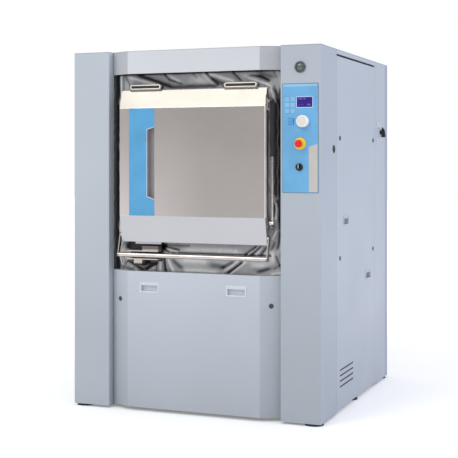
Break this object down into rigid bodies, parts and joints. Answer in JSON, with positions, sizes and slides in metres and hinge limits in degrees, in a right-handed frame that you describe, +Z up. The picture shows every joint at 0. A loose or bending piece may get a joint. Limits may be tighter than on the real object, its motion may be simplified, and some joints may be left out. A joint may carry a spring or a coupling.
{
  "type": "barrier washer",
  "caption": "Pass-through barrier washer: cased side-loading drum with a top-hung door, pull bar and lock on two sides.",
  "frame": {"origin": "on the floor under the middle of the whole box, main switch handle included", "axes": "+Z up, -Y towards the soiled side with the controls, +X to the right seen from there"},
  "size_m": [1.4874, 1.54, 1.972],
  "materials": {
    "frame_steel": "satin dark grey paint",
    "foot_black": "moulded, matte",
    "casing_paint": "pale blue-grey fine-textured paint",
    "lock_black": "moulded",
    "fascia_blue": "satin foil over moulded panel",
    "display_pane": "indigo screen behind a clear pane",
    "key_cap": "pale key cap",
    "knob_silver": "silver turned knob",
    "collar_yellow": "safety yellow",
    "button_red": "red mushroom button",
    "switch_black": "black moulding",
    "lamp_lens": "dark lens in a grey bezel",
    "switch_plate": "white plate",
    "bellows_cloth": "grey coated cloth",
    "zinc_sheet": "zinc-plated sheet",
    "spring_rubber": "black rubber",
    "stainless": "brushed stainless",
    "door_steel": "fine-ground stainless",
    "bright_steel": "polished",
    "cast_grey": "machined and painted casting",
    "motor_paint": "dark blue-grey enamel",
    "belt_rubber": "fabric-backed rubber",
    "valve_plastic": "glass-filled moulding",
    "strut_black": "black enamel"
  },
  "bodies": {
    "cabinet": {"base_frame": "frame_steel", "levelling_feet": "foot_black", "upper_frame": "frame_steel", "front_left_column": "casing_paint", "front_right_column": "casing_paint", "rear_columns": "casing_paint", "headers": "casing_paint", "lower_panels": "casing_paint", "side_panels": "casing_paint", "top_cover": "casing_paint", "flush_pulls": "casing_paint", "panel_locks": "lock_black", "control_fascia": "fascia_blue", "display_window": "display_pane", "estop_collars": "collar_yellow", "signal_lamp": "lamp_lens", "main_switch_plate": "switch_plate", "front_bellows": "bellows_cloth", "rear_bellows": "bellows_cloth", "electrical_box": "zinc_sheet", "air_springs": "spring_rubber"},
    "tub": {"tub_shell": "stainless", "tub_ends": "stainless", "door_seals": "spring_rubber", "door_brackets": "stainless", "hinge_pins": "bright_steel", "lock_housings": "stainless", "bearing_units": "cast_grey", "drive_motor": "motor_paint", "drive_belts": "belt_rubber", "water_valves": "valve_plastic"},
    "drum": {"drum_shell": "stainless", "drum_ends": "stainless", "drum_pulley": "cast_grey"},
    "front_door": {"front_door_skin": "door_steel", "front_door_pan": "stainless"},
    "rear_door": {"rear_door_skin": "door_steel", "rear_door_pan": "stainless"},
    "motor_pulley": {"motor_pulley": "cast_grey"},
    "control_knob": {"control_knob": "knob_silver"},
    "front_estop_button": {"front_estop_button": "button_red"},
    "rear_estop_button": {"rear_estop_button": "button_red"},
    "selector_switch": {"selector_switch": "switch_black"},
    "main_switch_handle": {"main_switch_handle": "switch_black"},
    "front_lock_bolt": {"front_lock_bolt": "bright_steel"},
    "rear_lock_bolt": {"rear_lock_bolt": "bright_steel"},
    "drum_door_upper": {"drum_door_upper": "stainless"},
    "drum_door_lower": {"drum_door_lower": "stainless"},
    "front_bail": {"front_bail": "bright_steel"},
    "rear_bail": {"rear_bail": "bright_steel"},
    "front_strut_rod": {"front_strut_rod": "bright_steel"},
    "front_strut_cylinder": {"front_strut_cylinder": "strut_black"},
    "rear_strut_rod": {"rear_strut_rod": "bright_steel"},
    "rear_strut_cylinder": {"rear_strut_cylinder": "strut_black"},
    "program_key_1": {"program_key_1": "key_cap"},
    "program_key_2": {"program_key_2": "key_cap"},
    "program_key_3": {"program_key_3": "key_cap"},
    "program_key_4": {"program_key_4": "key_cap"},
    "program_key_5": {"program_key_5": "key_cap"},
    "program_key_6": {"program_key_6": "key_cap"}
  },
  "joints": [
    {"name": "tub_bounce", "type": "slide", "parent": "cabinet", "child": "tub", "axis": [0, 0, 1], "range_m": [-0.008, 0.008], "stiffness_N_per_m": 400000, "springref_m": 0.02826, "deforming": ["air_springs"]},
    {"name": "drum_spin", "type": "hinge", "parent": "tub", "child": "drum", "pos_m": [-0.02125, 0, 1.34], "axis": [1, 0, 0], "continuous": true},
    {"name": "motor_spin", "type": "hinge", "parent": "tub", "child": "motor_pulley", "pos_m": [-0.02125, 0.26, 0.612], "axis": [1, 0, 0], "continuous": true},
    {"name": "drum_door_upper_hinge", "type": "hinge", "parent": "drum", "child": "drum_door_upper", "pos_m": [-0.02125, -0.45611, 1.54969], "axis": [-1, 0, 0], "range_deg": [0, 95]},
    {"name": "drum_door_lower_hinge", "type": "hinge", "parent": "drum", "child": "drum_door_lower", "pos_m": [-0.02125, -0.45611, 1.13031], "axis": [1, 0, 0], "range_deg": [0, 95]},
    {"name": "front_door_hinge", "type": "hinge", "parent": "tub", "child": "front_door", "pos_m": [-0.02125, -0.712, 1.772], "axis": [-1, 0, 0], "range_deg": [0, 90]},
    {"name": "front_bail_pivot", "type": "hinge", "parent": "front_door", "child": "front_bail", "pos_m": [-0.02125, -0.711, 0.962], "axis": [-1, 0, 0], "range_deg": [0, 70]},
    {"name": "front_lock_slide", "type": "slide", "parent": "tub", "child": "front_lock_bolt", "axis": [0, 0, 1], "range_m": [0, 0.03]},
    {"name": "front_strut_tilt", "type": "hinge", "parent": "tub", "child": "front_strut_rod", "pos_m": [0.43675, -0.727, 1.042], "axis": [1, 0, 0], "range_deg": [0, 5.9]},
    {"name": "front_strut_stroke", "type": "slide", "parent": "front_strut_rod", "child": "front_strut_cylinder", "axis": [0, 0, 1], "range_m": [0, 0.1086]},
    {"name": "front_estop_press", "type": "slide", "parent": "cabinet", "child": "front_estop_button", "axis": [0, 1, 0], "range_m": [0, 0.005], "stiffness_N_per_m": 1500},
    {"name": "rear_door_hinge", "type": "hinge", "parent": "tub", "child": "rear_door", "pos_m": [-0.02125, 0.712, 1.772], "axis": [1, 0, 0], "range_deg": [0, 90]},
    {"name": "rear_bail_pivot", "type": "hinge", "parent": "rear_door", "child": "rear_bail", "pos_m": [-0.02125, 0.711, 0.962], "axis": [1, 0, 0], "range_deg": [0, 70]},
    {"name": "rear_lock_slide", "type": "slide", "parent": "tub", "child": "rear_lock_bolt", "axis": [0, 0, 1], "range_m": [0, 0.03]},
    {"name": "rear_strut_tilt", "type": "hinge", "parent": "tub", "child": "rear_strut_rod", "pos_m": [-0.47925, 0.727, 1.042], "axis": [-1, 0, 0], "range_deg": [0, 5.9]},
    {"name": "rear_strut_stroke", "type": "slide", "parent": "rear_strut_rod", "child": "rear_strut_cylinder", "axis": [0, 0, 1], "range_m": [0, 0.1086]},
    {"name": "rear_estop_press", "type": "slide", "parent": "cabinet", "child": "rear_estop_button", "axis": [0, -1, 0], "range_m": [0, 0.005], "stiffness_N_per_m": 1500},
    {"name": "program_key_1_press", "type": "slide", "parent": "cabinet", "child": "program_key_1", "axis": [0, 1, 0], "range_m": [0, 0.0012], "stiffness_N_per_m": 600},
    {"name": "program_key_2_press", "type": "slide", "parent": "cabinet", "child": "program_key_2", "axis": [0, 1, 0], "range_m": [0, 0.0012], "stiffness_N_per_m": 600},
    {"name": "program_key_3_press", "type": "slide", "parent": "cabinet", "child": "program_key_3", "axis": [0, 1, 0], "range_m": [0, 0.0012], "stiffness_N_per_m": 600},
    {"name": "program_key_4_press", "type": "slide", "parent": "cabinet", "child": "program_key_4", "axis": [0, 1, 0], "range_m": [0, 0.0012], "stiffness_N_per_m": 600},
    {"name": "program_key_5_press", "type": "slide", "parent": "cabinet", "child": "program_key_5", "axis": [0, 1, 0], "range_m": [0, 0.0012], "stiffness_N_per_m": 600},
    {"name": "program_key_6_press", "type": "slide", "parent": "cabinet", "child": "program_key_6", "axis": [0, 1, 0], "range_m": [0, 0.0012], "stiffness_N_per_m": 600},
    {"name": "knob_turn", "type": "hinge", "parent": "cabinet", "child": "control_knob", "pos_m": [0.60575, -0.728, 1.574], "axis": [0, 1, 0], "continuous": true},
    {"name": "selector_turn", "type": "hinge", "parent": "cabinet", "child": "selector_switch", "pos_m": [0.58475, -0.728, 1.337], "axis": [0, 1, 0], "range_deg": [0, 90]},
    {"name": "main_switch_turn", "type": "hinge", "parent": "cabinet", "child": "main_switch_handle", "pos_m": [0.69875, 0.491, 1.543], "axis": [1, 0, 0], "range_deg": [0, 90]}
  ],
  "couplings": [
    {"joint": "motor_spin", "follows": "drum_spin", "ratio": 3.8889},
    {"joint": "front_strut_tilt", "follows": "front_door_hinge", "ratio": 0.062182},
    {"joint": "front_strut_stroke", "follows": "front_door_hinge", "m_per_rad": 0.067843},
    {"joint": "rear_strut_tilt", "follows": "rear_door_hinge", "ratio": 0.062182},
    {"joint": "rear_strut_stroke", "follows": "rear_door_hinge", "m_per_rad": 0.067843}
  ]
}
